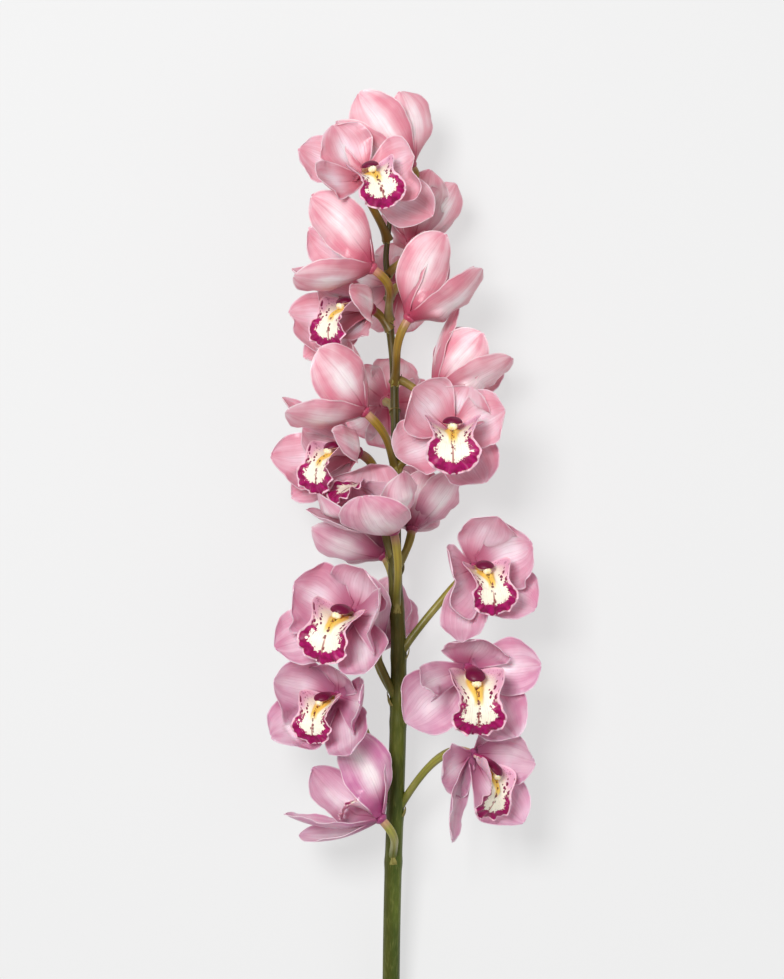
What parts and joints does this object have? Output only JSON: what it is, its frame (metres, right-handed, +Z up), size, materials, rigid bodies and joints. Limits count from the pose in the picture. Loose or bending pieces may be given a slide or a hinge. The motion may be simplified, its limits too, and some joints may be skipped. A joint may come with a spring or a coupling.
{
  "type": "cymbidium orchid stem",
  "caption": "Cut stem of cupped pink orchids with ruffled magenta-edged lips along a green stalk, lying flat.",
  "frame": {"origin": "under the middle of the whole stem, at the level of the surface it lies on", "axes": "+Y along the stem from the cut end towards the top bloom, +X to the right across it, +Z up from the surface"},
  "size_m": [0.1866, 0.7192, 0.1399],
  "materials": {
    "stem": "satin living green, olive-brown towards the top",
    "tepals": "soft waxy petal, pale pink with rosier backs and faint veins",
    "lip": "cream throat with a deep magenta band and a pale ruffled rim"
  },
  "bodies": {
    "root": {"stem": "stem", "bloom_01_tepals": "tepals", "bloom_01_lip": "lip", "bloom_02_tepals": "tepals", "bloom_02_lip": "lip", "bloom_03_tepals": "tepals", "bloom_03_lip": "lip", "bloom_04_tepals": "tepals", "bloom_04_lip": "lip", "bloom_05_tepals": "tepals", "bloom_05_lip": "lip", "bloom_06_tepals": "tepals", "bloom_06_lip": "lip", "bloom_07_tepals": "tepals", "bloom_07_lip": "lip", "bloom_08_tepals": "tepals", "bloom_08_lip": "lip", "bloom_09_tepals": "tepals", "bloom_09_lip": "lip", "bloom_10_tepals": "tepals", "bloom_10_lip": "lip", "bloom_11_tepals": "tepals", "bloom_11_lip": "lip", "bloom_12_tepals": "tepals", "bloom_12_lip": "lip", "bloom_13_tepals": "tepals", "bloom_13_lip": "lip", "bloom_14_tepals": "tepals", "bloom_14_lip": "lip", "bloom_15_tepals": "tepals", "bloom_15_lip": "lip", "bloom_16_tepals": "tepals", "bloom_16_lip": "lip", "bloom_17_tepals": "tepals", "bloom_17_lip": "lip", "bloom_18_tepals": "tepals", "bloom_18_lip": "lip", "bloom_19_tepals": "tepals", "bloom_19_lip": "lip", "bloom_20_tepals": "tepals", "bloom_20_lip": "lip", "bloom_21_tepals": "tepals", "bloom_21_lip": "lip", "bloom_22_tepals": "tepals", "bloom_22_lip": "lip"}
  },
  "joints": []
}
